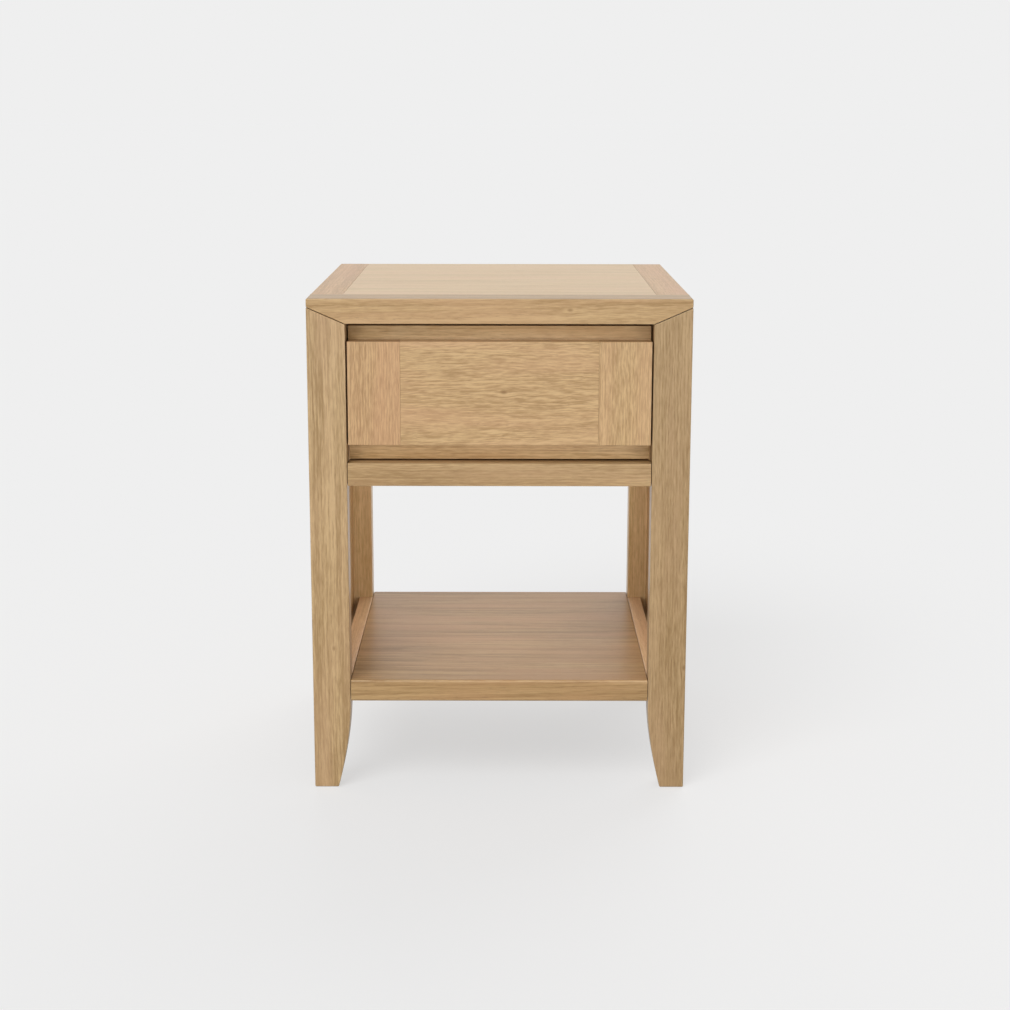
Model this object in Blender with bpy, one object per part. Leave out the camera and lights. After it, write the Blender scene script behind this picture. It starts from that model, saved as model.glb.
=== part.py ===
"""Oak nightstand: one inset drawer over an open shelf bay, built as separate joined pieces.

Metres, +Z up. The drawer faces -Y. The origin is on the floor, under the middle of the top.
"""

import bmesh
import bpy
from math import copysign, radians

# Driving dimensions of the carcass.
WIDTH = 0.450
DEPTH = 0.420
HEIGHT = 0.600
TOP_THICK = 0.0295        # thickness of the top between the legs
TOP_EDGE = 0.009          # what is left of it at the outer sides, above the sloping joint
LEG_WIDTH = 0.045
LEG_DEPTH = 0.026
FRAME_DEPTH = 0.368       # front of the front legs to back of the back legs
LIP_DEPTH = 0.045         # solid front lipping of the top
BAND_WIDTH = 0.039        # side bands of the top
RAIL_THICK = 0.018
RAIL_DROP = 0.0272        # height of the front rail, the back rails and the shelf
SIDE_PANEL_THICK = 0.010
SIDE_PANEL_INSET = 0.0093 # outer face of the side panel, in from the legs' outer faces

# Heights above the floor.
SHELF_TOP = 0.1367
SHELF_LOW = 0.1100
TAPER_START = 0.105
TAPER_INSET = 0.016       # how much narrower the foot is than the leg
TAPER_POWER = 1.7
TAPER_STEPS = 7
FRONT_RAIL_LOW = 0.3775
FRONT_RAIL_TOP = FRONT_RAIL_LOW + RAIL_DROP
DRAWER_LOW = 0.4066
DRAWER_TOP = 0.5662
RAISED_LOW = 0.4266
RAISED_TOP = 0.5497
TOP_RAIL_LOW = 0.5405

# Drawer.
DRAWER_HALF = 0.178
RAISED_THICK = 0.0175
BACKING_THICK = 0.016
STILE_WIDTH = 0.0618
BOX_HALF = 0.167
BOX_WALL = 0.013
BOX_LOW = 0.420
BOX_TOP = 0.545
BOX_BACK = 0.105
BOTTOM_LOW = 0.4280
BOTTOM_THICK = 0.0063
BOTTOM_GROOVE = 0.005

# Telescopic slides.
SLIDE_Z = 0.485
SLIDE_FRONT = -0.1735
RUNNER_HALF = 0.0275      # half the height of the rail that carries a slide
SHEET = 0.0012            # thickness of the pressed steel

# Gaps and small sizes.
GAP = 0.0004              # between pieces that touch
JOINT = 0.0008            # visible joint lines
TENON = 0.007
TENON_THICK = 0.008
TENON_SHOULDER = 0.0045
FIRST_INSET = 0.001       # a small inset that is then opened to the tenon's size
GROOVE = 0.008
ARRIS = 0.0020
SCREW_R = 0.0020
HEAD_R = 0.0040
HEAD_HIGH = 0.0016
ROUND_SIDES = 10          # round bars and screws

# Worked out from the above.
HALF = WIDTH / 2
FRONT = -DEPTH / 2
BACK = DEPTH / 2
FRAME_BACK = FRONT + FRAME_DEPTH
INNER = HALF - LEG_WIDTH
LEG_BACK = FRONT + LEG_DEPTH
REAR_LEG_FRONT = FRAME_BACK - LEG_DEPTH
UNDER_TOP = HEIGHT - TOP_THICK
UNDER_EDGE = HEIGHT - TOP_EDGE
RAIL_OUT = INNER + RAIL_THICK
PANEL_OUT = HALF - SIDE_PANEL_INSET
PANEL_IN = PANEL_OUT - SIDE_PANEL_THICK
BAND_IN = HALF - BAND_WIDTH
LIP_BACK = FRONT + LIP_DEPTH
RAISED_FRONT = FRONT + 0.0005
RAISED_BACK = RAISED_FRONT + RAISED_THICK
BACKING_FRONT = RAISED_BACK + 0.0003
BACKING_BACK = BACKING_FRONT + BACKING_THICK
SIDE_NAMES = ((-1, "left"), (1, "right"))


def clear_scene():
    for obj in list(bpy.data.objects):
        bpy.data.objects.remove(obj, do_unlink=True)


def material(name, colour, roughness, metallic=0.0):
    made = bpy.data.materials.new(name)
    made.use_nodes = True
    shader = made.node_tree.nodes["Principled BSDF"]
    shader.inputs["Base Color"].default_value = (*colour, 1.0)
    shader.inputs["Roughness"].default_value = roughness
    shader.inputs["Metallic"].default_value = metallic
    made.diffuse_color = (*colour, 1.0)
    return made


def add_object(name, mesh, place, finish=None):
    obj = bpy.data.objects.new(name, mesh)
    obj.location = place
    bpy.context.scene.collection.objects.link(obj)
    if finish is not None:
        mesh.materials.append(finish.copy())
        mesh.materials[0].name = name + "_finish"
    return obj


def bevel(obj, width, segments=1):
    made = obj.modifiers.new("arris", "BEVEL")
    made.width = width
    made.segments = segments
    made.limit_method = "ANGLE"
    made.angle_limit = radians(40)


def box(name, low, high, finish=None, arris=0.0):
    """A block between two corners, its origin at its middle."""
    bm = bmesh.new()
    bmesh.ops.create_cube(bm, size=1.0)
    size = [h - l for l, h in zip(low, high)]
    bmesh.ops.scale(bm, vec=size, verts=bm.verts)
    mesh = bpy.data.meshes.new(name)
    bm.to_mesh(mesh)
    bm.free()
    middle = [(h + l) / 2 for l, h in zip(low, high)]
    obj = add_object(name, mesh, middle, finish)
    if arris:
        bevel(obj, arris)
    return obj


def mirrored_box(name, side, low, high, finish=None, arris=0.0):
    """A block given for the right-hand side, placed on the named side."""
    xs = sorted((side * low[0], side * high[0]))
    return box(name, (xs[0], *low[1:]), (xs[1], *high[1:]), finish, arris)


def prism(name, outline, start, length, finish=None, arris=0.0):
    """An outline of (x, z) points carried along +Y from start, its origin at start."""
    bm = bmesh.new()
    rim = [bm.verts.new((x, 0.0, z)) for x, z in outline]
    face = bm.faces.new(rim)
    made = bmesh.ops.extrude_face_region(bm, geom=[face])
    moved = [item for item in made["geom"] if isinstance(item, bmesh.types.BMVert)]
    bmesh.ops.translate(bm, vec=(0.0, length, 0.0), verts=moved)
    bmesh.ops.recalc_face_normals(bm, faces=bm.faces)
    mesh = bpy.data.meshes.new(name)
    bm.to_mesh(mesh)
    bm.free()
    obj = add_object(name, mesh, (0.0, start, 0.0), finish)
    if arris:
        bevel(obj, arris)
    return obj


def flipped(outline, side):
    """The outline on the named side: x changes sign on the left."""
    return [(side * x, z) for x, z in outline]


def hide(obj):
    obj.hide_render = True
    obj.display_type = "WIRE"
    return obj


def cut(obj, cutter):
    made = obj.modifiers.new("cut", "BOOLEAN")
    made.operation = "DIFFERENCE"
    made.solver = "EXACT"
    made.object = hide(cutter)


def add_tenon(obj, axis):
    """Draws a smaller block out of both end faces, which look along the axis (0 for X, 1 for Y)."""
    bm = bmesh.new()
    bm.from_mesh(obj.data)
    faces = [f for f in bm.faces if abs(f.normal[axis]) > 0.9]
    for face in faces:
        out = round(face.normal[axis])
        across = 1 - axis
        bmesh.ops.inset_individual(bm, faces=[face], thickness=FIRST_INSET, use_even_offset=True)
        for vert in face.verts:
            vert.co[across] = copysign(TENON_THICK / 2, vert.co[across])
            vert.co.z += copysign(TENON_SHOULDER - FIRST_INSET, -vert.co.z)
        grown = bmesh.ops.extrude_discrete_faces(bm, faces=[face])["faces"][0]
        for vert in grown.verts:
            vert.co[axis] += out * TENON
    bmesh.ops.recalc_face_normals(bm, faces=bm.faces)
    bm.to_mesh(obj.data)
    bm.free()


def rod(name, radius, start, end, finish=None):
    """A round bar from one point to another, along one of the axes."""
    bm = bmesh.new()
    length = sum(abs(e - s) for s, e in zip(start, end))
    bmesh.ops.create_cone(
        bm, cap_ends=True, segments=ROUND_SIDES, radius1=radius, radius2=radius, depth=length
    )
    mesh = bpy.data.meshes.new(name)
    bm.to_mesh(mesh)
    bm.free()
    middle = [(s + e) / 2 for s, e in zip(start, end)]
    obj = add_object(name, mesh, middle, finish)
    along = [abs(e - s) > 1e-6 for s, e in zip(start, end)]
    if along[0]:
        obj.rotation_euler = (0.0, radians(90), 0.0)
    elif along[1]:
        obj.rotation_euler = (radians(90), 0.0, 0.0)
    return obj


def screw(name, tip, under_head, finish):
    """A pan-head screw: a shank from its tip to the underside of its head, and the head on it."""
    bm = bmesh.new()
    length = sum(abs(u - t) for t, u in zip(tip, under_head))
    profile = (
        (0.0, 0.0), (SCREW_R * 0.3, 0.0), (SCREW_R, SCREW_R * 2), (SCREW_R, length),
        (HEAD_R, length), (HEAD_R * 0.9, length + HEAD_HIGH * 0.6), (HEAD_R * 0.5, length + HEAD_HIGH),
        (0.0, length + HEAD_HIGH),
    )
    chain = [bm.verts.new((r, 0.0, z)) for r, z in profile]
    edges = [bm.edges.new(pair) for pair in zip(chain, chain[1:])]
    bmesh.ops.spin(
        bm, geom=chain + edges, cent=(0, 0, 0), axis=(0, 0, 1),
        angle=radians(360), steps=ROUND_SIDES, use_merge=True, use_duplicate=False,
    )
    bmesh.ops.remove_doubles(bm, verts=bm.verts, dist=0.00005)
    bmesh.ops.recalc_face_normals(bm, faces=bm.faces)
    mesh = bpy.data.meshes.new(name)
    bm.to_mesh(mesh)
    bm.free()
    obj = add_object(name, mesh, tip, finish)
    way = [u - t for t, u in zip(tip, under_head)]
    if abs(way[0]) > 1e-6:
        obj.rotation_euler = (0.0, radians(90 if way[0] > 0 else -90), 0.0)
    elif abs(way[1]) > 1e-6:
        obj.rotation_euler = (radians(-90 if way[1] > 0 else 90), 0.0, 0.0)
    elif way[2] < 0:
        obj.rotation_euler = (radians(180), 0.0, 0.0)
    return obj


def underside(x):
    """Height of the top's underside at a distance x from the middle: it rises over each leg."""
    beyond = max(0.0, abs(x) - INNER) / LEG_WIDTH
    return UNDER_TOP + beyond * (UNDER_EDGE - UNDER_TOP)


def make_top(oak):
    lip = [(-HALF, HEIGHT), (-HALF, UNDER_EDGE), (-INNER, UNDER_TOP),
           (INNER, UNDER_TOP), (HALF, UNDER_EDGE), (HALF, HEIGHT)]
    prism("top_front_lipping", lip, FRONT, LIP_DEPTH - GAP, oak, ARRIS)
    edge = BAND_IN - GAP
    panel = [(-edge, HEIGHT), (-edge, underside(edge)), (-INNER, UNDER_TOP),
             (INNER, UNDER_TOP), (edge, underside(edge)), (edge, HEIGHT)]
    prism("top_centre_panel", panel, LIP_BACK, BACK - LIP_BACK, oak)
    band = [(BAND_IN, HEIGHT), (HALF, HEIGHT), (HALF, UNDER_EDGE), (BAND_IN, underside(BAND_IN))]
    for side, name in SIDE_NAMES:
        prism(f"top_{name}_band", flipped(band, side), LIP_BACK, BACK - LIP_BACK, oak)


def leg_outline():
    """Straight outside and sloping end; the inner edge curves in below the shelf, to the foot."""
    shape = [(INNER, underside(INNER) - JOINT), (HALF, UNDER_EDGE - JOINT), (HALF, 0.0)]
    for step in range(TAPER_STEPS + 1):
        down = 1.0 - step / TAPER_STEPS
        shape.append((INNER + TAPER_INSET * down**TAPER_POWER, TAPER_START * (1.0 - down)))
    return shape


def rail_mortise(name, side, y_from, y_to, low, high):
    """A hole for the tenon of a rail that runs front to back."""
    middle = INNER + RAIL_THICK / 2
    half = TENON_THICK / 2 + GAP
    lower = (middle - half, y_from, low + TENON_SHOULDER - GAP)
    upper = (middle + half, y_to, high - TENON_SHOULDER + GAP)
    return mirrored_box(name, side, lower, upper)


def cross_mortise(name, side, y_low, y_high, low, high):
    """A hole in a leg's inner face for the tenon of a rail that runs left to right."""
    middle = (y_low + y_high) / 2
    half = TENON_THICK / 2 + GAP
    lower = (INNER - 0.002, middle - half, low + TENON_SHOULDER - GAP)
    upper = (INNER + TENON + GAP, middle + half, high - TENON_SHOULDER + GAP)
    return mirrored_box(name, side, lower, upper)


SIDE_RAILS = (
    ("top_cleat", TOP_RAIL_LOW, UNDER_TOP - GAP),
    ("runner_rail", SLIDE_Z - RUNNER_HALF, SLIDE_Z + RUNNER_HALF),
    ("shelf_rail", SHELF_LOW, SHELF_TOP),
)


def make_legs(oak):
    for side, side_name in SIDE_NAMES:
        for end, y_low in (("front", FRONT), ("rear", REAR_LEG_FRONT)):
            name = f"{end}_{side_name}_leg"
            leg = prism(name, flipped(leg_outline(), side), y_low, LEG_DEPTH, oak, ARRIS)
            joint_y = LEG_BACK if end == "front" else REAR_LEG_FRONT
            into = -1 if end == "front" else 1
            ys = sorted((joint_y - into * 0.002, joint_y + into * (GROOVE + GAP)))
            low = (PANEL_IN - GAP, ys[0], SHELF_LOW - GAP)
            cut(leg, mirrored_box(name + "_groove", side, low, (PANEL_OUT + GAP, ys[1], HEIGHT)))
            ys = sorted((joint_y - into * 0.002, joint_y + into * (TENON + GAP)))
            for rail, z_low, z_high in SIDE_RAILS:
                hole = rail_mortise(f"{name}_{rail}_hole", side, ys[0], ys[1], z_low, z_high)
                cut(leg, hole)
            for rail, z_low, z_high in CROSS_RAILS[end]:
                y_high = y_low + LEG_DEPTH
                cut(leg, cross_mortise(f"{name}_{rail}_hole", side, y_low, y_high, z_low, z_high))


CROSS_RAILS = {
    "front": (("drawer_front_rail", FRONT_RAIL_LOW, FRONT_RAIL_TOP),),
    "rear": (
        ("rear_lower_rail", FRONT_RAIL_LOW, FRONT_RAIL_TOP),
        ("rear_top_rail", TOP_RAIL_LOW, UNDER_TOP - GAP),
    ),
}


def make_rails(oak):
    for side, side_name in SIDE_NAMES:
        for rail, z_low, z_high in SIDE_RAILS:
            low = (INNER, LEG_BACK + GAP, z_low)
            high = (RAIL_OUT, REAR_LEG_FRONT - GAP, z_high)
            made = mirrored_box(f"{side_name}_{rail}", side, low, high, oak)
            add_tenon(made, axis=1)
    for end, y_low in (("front", FRONT), ("rear", REAR_LEG_FRONT)):
        for name, z_low, z_high in CROSS_RAILS[end]:
            low = (-INNER + JOINT, y_low, z_low)
            made = box(name, low, (INNER - JOINT, y_low + LEG_DEPTH, z_high), oak)
            add_tenon(made, axis=0)


REAR_PANEL_THICK = 0.008
REAR_PANEL_TONGUE = 0.005
DUST_PANEL_LOW = 0.3950
DUST_PANEL_TOP = 0.4010
DUST_PANEL_TONGUE = 0.006


def make_panels(oak):
    for side, side_name in SIDE_NAMES:
        shape = [(PANEL_IN, SHELF_LOW), (PANEL_OUT, SHELF_LOW),
                 (PANEL_OUT, underside(PANEL_OUT) - JOINT),
                 (PANEL_IN, underside(PANEL_IN) - JOINT)]
        length = REAR_LEG_FRONT - LEG_BACK + 2 * GROOVE
        prism(f"{side_name}_side_panel", flipped(shape, side), LEG_BACK - GROOVE, length, oak)
    middle = REAR_LEG_FRONT + LEG_DEPTH / 2
    y_low = middle - REAR_PANEL_THICK / 2
    y_high = middle + REAR_PANEL_THICK / 2
    low = (-INNER + JOINT, y_low, FRONT_RAIL_TOP - REAR_PANEL_TONGUE)
    high = (INNER - JOINT, y_high, TOP_RAIL_LOW + REAR_PANEL_TONGUE)
    box("rear_panel", low, high, oak)
    for name, z_face, way in (("rear_lower_rail", FRONT_RAIL_TOP, -1), ("rear_top_rail", TOP_RAIL_LOW, 1)):
        zs = sorted((z_face - way * 0.002, z_face + way * (REAR_PANEL_TONGUE + GAP)))
        slot = box(f"{name}_slot", (-INNER, y_low - GAP, zs[0]), (INNER, y_high + GAP, zs[1]))
        cut(bpy.data.objects[name], slot)
    make_dust_panel(oak)


def make_dust_panel(oak):
    """A thin board under the drawer, in a groove of the front rail and one of the rear lower rail."""
    front = LEG_BACK - DUST_PANEL_TONGUE
    rear = REAR_LEG_FRONT + DUST_PANEL_TONGUE
    low = (-INNER + JOINT, front, DUST_PANEL_LOW)
    box("dust_panel", low, (INNER - JOINT, rear, DUST_PANEL_TOP), oak)
    z_low = DUST_PANEL_LOW - GAP
    z_high = DUST_PANEL_TOP + GAP
    for name, y_low, y_high in (("drawer_front_rail", front - GAP, LEG_BACK + 0.002),
                                ("rear_lower_rail", REAR_LEG_FRONT - 0.002, rear + GAP)):
        groove = box(f"{name}_groove", (-INNER, y_low, z_low), (INNER, y_high, z_high))
        cut(bpy.data.objects[name], groove)


DOWEL_R = 0.004
DOWEL_REACH = 0.010
DOWEL_Y = (-0.120, 0.070)


def make_shelf(oak, beech):
    low = (-INNER + JOINT, FRONT, SHELF_LOW)
    shelf = box("shelf_panel", low, (INNER - JOINT, FRAME_BACK, SHELF_TOP), oak, ARRIS)
    height = (SHELF_LOW + SHELF_TOP) / 2
    for side, side_name in SIDE_NAMES:
        for number, y in enumerate(DOWEL_Y, 1):
            start = (side * (INNER - DOWEL_REACH), y, height)
            end = (side * (INNER + DOWEL_REACH), y, height)
            rod(f"{side_name}_shelf_dowel_{number}", DOWEL_R, start, end, beech)
            reach = DOWEL_REACH + GAP
            for host in (shelf, bpy.data.objects[f"{side_name}_shelf_rail"]):
                start = (side * (INNER - reach), y, height)
                end = (side * (INNER + reach), y, height)
                cut(host, rod("dowel_hole", DOWEL_R + GAP, start, end))


def make_drawer(oak, ply, body):
    low = (-DRAWER_HALF, BACKING_FRONT, DRAWER_LOW)
    backing = box("drawer_backing_board", low, (DRAWER_HALF, BACKING_BACK, DRAWER_TOP), oak)
    stile_in = DRAWER_HALF - STILE_WIDTH
    low = (-stile_in + GAP, RAISED_FRONT, RAISED_LOW)
    raised = [box("drawer_front_panel", low, (stile_in - GAP, RAISED_BACK, RAISED_TOP), oak)]
    sides = []
    for side, side_name in SIDE_NAMES:
        low = (stile_in, RAISED_FRONT, RAISED_LOW)
        high = (DRAWER_HALF, RAISED_BACK, RAISED_TOP)
        raised.append(mirrored_box(f"drawer_front_{side_name}_stile", side, low, high, oak))
        low = (BOX_HALF - BOX_WALL, BACKING_BACK + GAP, BOX_LOW)
        high = (BOX_HALF, BOX_BACK, BOX_TOP)
        sides.append(mirrored_box(f"drawer_{side_name}_side", side, low, high, ply, 0.0015))
    inside = BOX_HALF - BOX_WALL
    low = (-inside + GAP, BOX_BACK - BOX_WALL, BOTTOM_LOW + BOTTOM_THICK + GAP)
    back = box("drawer_back", low, (inside - GAP, BOX_BACK, BOX_TOP), ply)
    reach = inside + BOTTOM_GROOVE
    low = (-reach + GAP, BACKING_BACK - BOTTOM_GROOVE + GAP, BOTTOM_LOW + GAP)
    high = (reach - GAP, BOX_BACK, BOTTOM_LOW + BOTTOM_THICK)
    bottom = box("drawer_bottom", low, high, ply)
    for host in (backing, *sides):
        low = (-reach, BACKING_BACK - BOTTOM_GROOVE, BOTTOM_LOW)
        high = (reach, BOX_BACK + 0.01, BOTTOM_LOW + BOTTOM_THICK + GAP)
        cut(host, box("bottom_groove", low, high))
    for obj in (backing, back, bottom, *raised, *sides):
        ride(obj, body)


def ride(obj, body):
    """Parents the piece to the body's empty and leaves it where it is."""
    obj.parent = body
    obj.matrix_parent_inverse = body.matrix_basis.inverted()


def channel(face, depth, half_height):
    """A C-section of bent sheet: a web at face, and flanges that reach to face + depth."""
    turn = 1 if depth > 0 else -1
    web = face + turn * SHEET
    end = face + depth
    inner = half_height - SHEET
    return [
        (face, SLIDE_Z - half_height), (end, SLIDE_Z - half_height), (end, SLIDE_Z - inner),
        (web, SLIDE_Z - inner), (web, SLIDE_Z + inner), (end, SLIDE_Z + inner),
        (end, SLIDE_Z + half_height), (face, SLIDE_Z + half_height),
    ]


# Each member of a slide: where its web stands, how deep its flanges are, half its height, its length.
WEB_GAP = 0.0003
CABINET_WEB = INNER - WEB_GAP
MIDDLE_WEB = CABINET_WEB - 0.0042
DRAWER_WEB = BOX_HALF + WEB_GAP
CABINET_MEMBER = (CABINET_WEB, -0.0090, 0.0225, 0.294)
MIDDLE_MEMBER = (MIDDLE_WEB, -0.0066, 0.0180, 0.284)
DRAWER_MEMBER = (DRAWER_WEB, 0.0060, 0.0130, 0.276)
MIDDLE_SET_BACK = 0.004


def slide_member(name, side, sizes, start, steel):
    *section, length = sizes
    return prism(name, flipped(channel(*section), side), start, length, steel)


def make_slides(steel, bodies):
    for side, name in SIDE_NAMES:
        slide_member(f"{name}_slide_cabinet_member", side, CABINET_MEMBER, SLIDE_FRONT, steel)
        start = SLIDE_FRONT + MIDDLE_SET_BACK
        middle = slide_member(f"{name}_slide_middle_member", side, MIDDLE_MEMBER, start, steel)
        ride(middle, bodies[f"{name}_middle"])
        inner = slide_member(f"{name}_slide_drawer_member", side, DRAWER_MEMBER, SLIDE_FRONT, steel)
        ride(inner, bodies["drawer"])


def drill(host_names, start, end, radius):
    for host in host_names:
        cut(bpy.data.objects[host], rod("screw_hole", radius, start, end))


def add_screw(name, tip, under_head, hosts, finish, body=None):
    """Drills the pieces that the screw goes through and sets the screw in them."""
    made = screw(name, tip, under_head, finish)
    way = [u - t for t, u in zip(tip, under_head)]
    length = sum(abs(w) for w in way)
    unit = [w / length for w in way]
    start = [t - 0.0005 * u for t, u in zip(tip, unit)]
    end = [h + 0.0006 * u for h, u in zip(under_head, unit)]
    drill(hosts, start, end, SCREW_R + GAP)
    if body is not None:
        ride(made, body)


# Where the screws stand, and how deep each goes into its last piece.
RUNNER_SCREWS_Y = (-0.135, 0.085)
DRAWER_SCREWS_Y = (-0.120, 0.070)
TOP_SCREWS_Y = (-0.140, 0.090)
FRONT_SCREWS = ((0.060, "panel"), (0.145, "stile"))
FRONT_SCREWS_Z = 0.500
BITE = {"runner": 0.012, "drawer": 0.010, "top": 0.0195, "front": 0.0115}


def make_screws(zinc, bodies):
    face = BACKING_BACK + GAP
    for side, name in SIDE_NAMES:
        web_face = side * (CABINET_WEB - SHEET - GAP)
        for number, y in enumerate(RUNNER_SCREWS_Y, 1):
            hosts = (f"{name}_runner_rail", f"{name}_slide_cabinet_member")
            tip = (side * (INNER + BITE["runner"]), y, SLIDE_Z)
            add_screw(f"{name}_runner_screw_{number}", tip, (web_face, y, SLIDE_Z), hosts, zinc)
        web_face = side * (DRAWER_WEB + SHEET + GAP)
        for number, y in enumerate(DRAWER_SCREWS_Y, 1):
            hosts = (f"drawer_{name}_side", f"{name}_slide_drawer_member")
            tip = (side * (BOX_HALF - BITE["drawer"]), y, SLIDE_Z)
            add_screw(f"{name}_drawer_screw_{number}", tip, (web_face, y, SLIDE_Z), hosts, zinc,
                      bodies["drawer"])
        for number, y in enumerate(TOP_SCREWS_Y, 1):
            hosts = (f"{name}_top_cleat", f"top_{name}_band")
            x = side * (BAND_IN + HEAD_R + 0.0005)
            tip = (x, y, UNDER_TOP + BITE["top"])
            head = (x, y, TOP_RAIL_LOW - GAP)
            add_screw(f"{name}_top_screw_{number}", tip, head, hosts, zinc)
        for number, (x, host) in enumerate(FRONT_SCREWS, 1):
            host = f"drawer_front_{name}_stile" if host == "stile" else "drawer_front_panel"
            hosts = ("drawer_backing_board", host)
            tip = (side * x, RAISED_BACK - BITE["front"], FRONT_SCREWS_Z)
            head = (side * x, face, FRONT_SCREWS_Z)
            add_screw(f"{name}_front_screw_{number}", tip, head, hosts, zinc, bodies["drawer"])


def empty(name, place):
    made = bpy.data.objects.new(name, None)
    made.location = place
    bpy.context.scene.collection.objects.link(made)
    return made


def main():
    clear_scene()
    top_oak = material("top_oak", (0.70, 0.55, 0.38), 0.38)
    frame_oak = material("frame_oak", (0.50, 0.34, 0.18), 0.42)
    front_oak = material("front_oak", (0.57, 0.37, 0.19), 0.42)
    ply = material("drawer_ply", (0.66, 0.50, 0.32), 0.50)
    beech = material("beech", (0.68, 0.48, 0.30), 0.55)
    steel = material("zinc_steel", (0.62, 0.63, 0.65), 0.32, 1.0)
    zinc = material("screw_zinc", (0.70, 0.68, 0.62), 0.35, 1.0)
    bodies = {
        "drawer": empty("drawer_body", (0.0, FRONT, SLIDE_Z)),
        "left_middle": empty("left_middle_body", (-MIDDLE_WEB, SLIDE_FRONT, SLIDE_Z)),
        "right_middle": empty("right_middle_body", (MIDDLE_WEB, SLIDE_FRONT, SLIDE_Z)),
    }
    make_top(top_oak)
    make_legs(frame_oak)
    make_rails(frame_oak)
    make_panels(frame_oak)
    make_shelf(frame_oak, beech)
    make_drawer(front_oak, ply, bodies["drawer"])
    make_slides(steel, bodies)
    make_screws(zinc, bodies)


main()
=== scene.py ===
# %% [markdown]
# # A lacquered oak nightstand with one drawer
# The table is made the way a cabinet maker makes it: solid oak boards, a top whose underside rises over
# each leg, legs that curve in to the foot, a drawer with a raised front on a backing board, and steel
# slides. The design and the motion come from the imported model. This script gives the boards eased edges,
# true curves and wood.

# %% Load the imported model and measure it
import math

import bmesh
import bpy
import numpy as np
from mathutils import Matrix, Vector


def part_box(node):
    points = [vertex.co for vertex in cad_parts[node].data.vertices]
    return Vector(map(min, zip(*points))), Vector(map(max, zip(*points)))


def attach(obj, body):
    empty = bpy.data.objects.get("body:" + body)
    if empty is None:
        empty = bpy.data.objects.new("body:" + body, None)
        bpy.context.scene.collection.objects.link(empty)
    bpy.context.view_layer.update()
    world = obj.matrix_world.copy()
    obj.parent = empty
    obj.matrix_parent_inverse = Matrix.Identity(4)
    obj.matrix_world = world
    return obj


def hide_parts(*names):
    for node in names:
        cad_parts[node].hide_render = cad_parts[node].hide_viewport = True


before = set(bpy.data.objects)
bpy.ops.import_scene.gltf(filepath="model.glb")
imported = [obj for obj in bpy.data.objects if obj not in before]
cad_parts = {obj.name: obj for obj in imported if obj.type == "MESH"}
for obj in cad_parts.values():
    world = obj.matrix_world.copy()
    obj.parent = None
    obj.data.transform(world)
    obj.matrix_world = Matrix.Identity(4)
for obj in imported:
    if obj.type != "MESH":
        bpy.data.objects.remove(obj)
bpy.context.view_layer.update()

# %% [markdown]
# The driving sizes are read from the boards themselves, so that a finer board lies exactly where the
# plain one did. Only the curve of the foot can't be read from a box, so its three numbers are given here.

# %% Sizes that the boards share
lip_low, lip_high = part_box("top_front_lipping")
leg_low, leg_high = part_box("front_right_leg")
band_low, band_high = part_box("top_right_band")
HALF = lip_high.x
HEIGHT = lip_high.z
INNER = leg_low.x
FRONT = lip_low.y
UNDER_TOP = lip_low.z
MITRE_GAP = 0.0008
UNDER_EDGE = leg_high.z + MITRE_GAP
CLOSE = 0.00008  # closes the hair gap between two boards of the top
FOOT_CURVE_HIGH = 0.105
FOOT_CURVE_IN = 0.016
FOOT_CURVE_POWER = 1.7
SIDES = {"left": -1, "right": 1}
print("half width", round(HALF, 4), "height", round(HEIGHT, 4), "leg width", round(HALF - INNER, 4))

# %% [markdown]
# ## The camera
# A catalogue picture of furniture is taken from a little above the top, with a lens of medium length. The
# camera looks slightly down, and a small shift lifts the table in the frame.

# %% Camera
LENS = 58.8
SHIFT_UP = -0.10
CAMERA_PLACE = (0.0059, -2.1107, 0.8243)
CAMERA_TILT = 10.375
CAMERA_ROLL = -0.087


def add_camera():
    data = bpy.data.cameras.new("camera")
    data.lens = LENS
    data.sensor_width = 36.0
    data.shift_y = SHIFT_UP
    camera = bpy.data.objects.new("camera", data)
    camera.location = CAMERA_PLACE
    camera.rotation_euler = (math.radians(90 - CAMERA_TILT), math.radians(CAMERA_ROLL), 0.0)
    bpy.context.scene.collection.objects.link(camera)
    bpy.context.scene.camera = camera
    return camera


camera = add_camera()
print("camera lens", camera.data.lens, "mm, tilt", CAMERA_TILT, "degrees")

# %% [markdown]
# ## Helpers for shader nodes
# The light, the floor and every finish are wired from nodes. Wired by hand, each node takes a line to add
# it, one for every value and one for every link. These helpers add a node with its values and links in
# one call, so that a finish reads as a list of its steps.

# %% Helpers that place and join nodes


def put(tree, kind, inputs=None, **settings):
    """Adds a node. A value in inputs is a socket to join, or a number or colour to set."""
    made = tree.nodes.new(kind)
    for name, value in settings.items():
        setattr(made, name, value)
    for name, value in (inputs or {}).items():
        if isinstance(value, bpy.types.NodeSocket):
            tree.links.new(value, made.inputs[name])
        else:
            made.inputs[name].default_value = value
    return made


def sums(tree, operation, a, b=0.0, c=0.0):
    """One step of arithmetic on numbers or sockets."""
    made = put(tree, "ShaderNodeMath", {0: a, 1: b, 2: c}, operation=operation)
    return made.outputs[0]


def vectors(tree, operation, a, b=(0.0, 0.0, 0.0)):
    """One step of arithmetic on vectors or sockets. A length is a number."""
    made = put(tree, "ShaderNodeVectorMath", {0: a, 1: b}, operation=operation)
    return made.outputs["Value" if operation == "LENGTH" else "Vector"]


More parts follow.
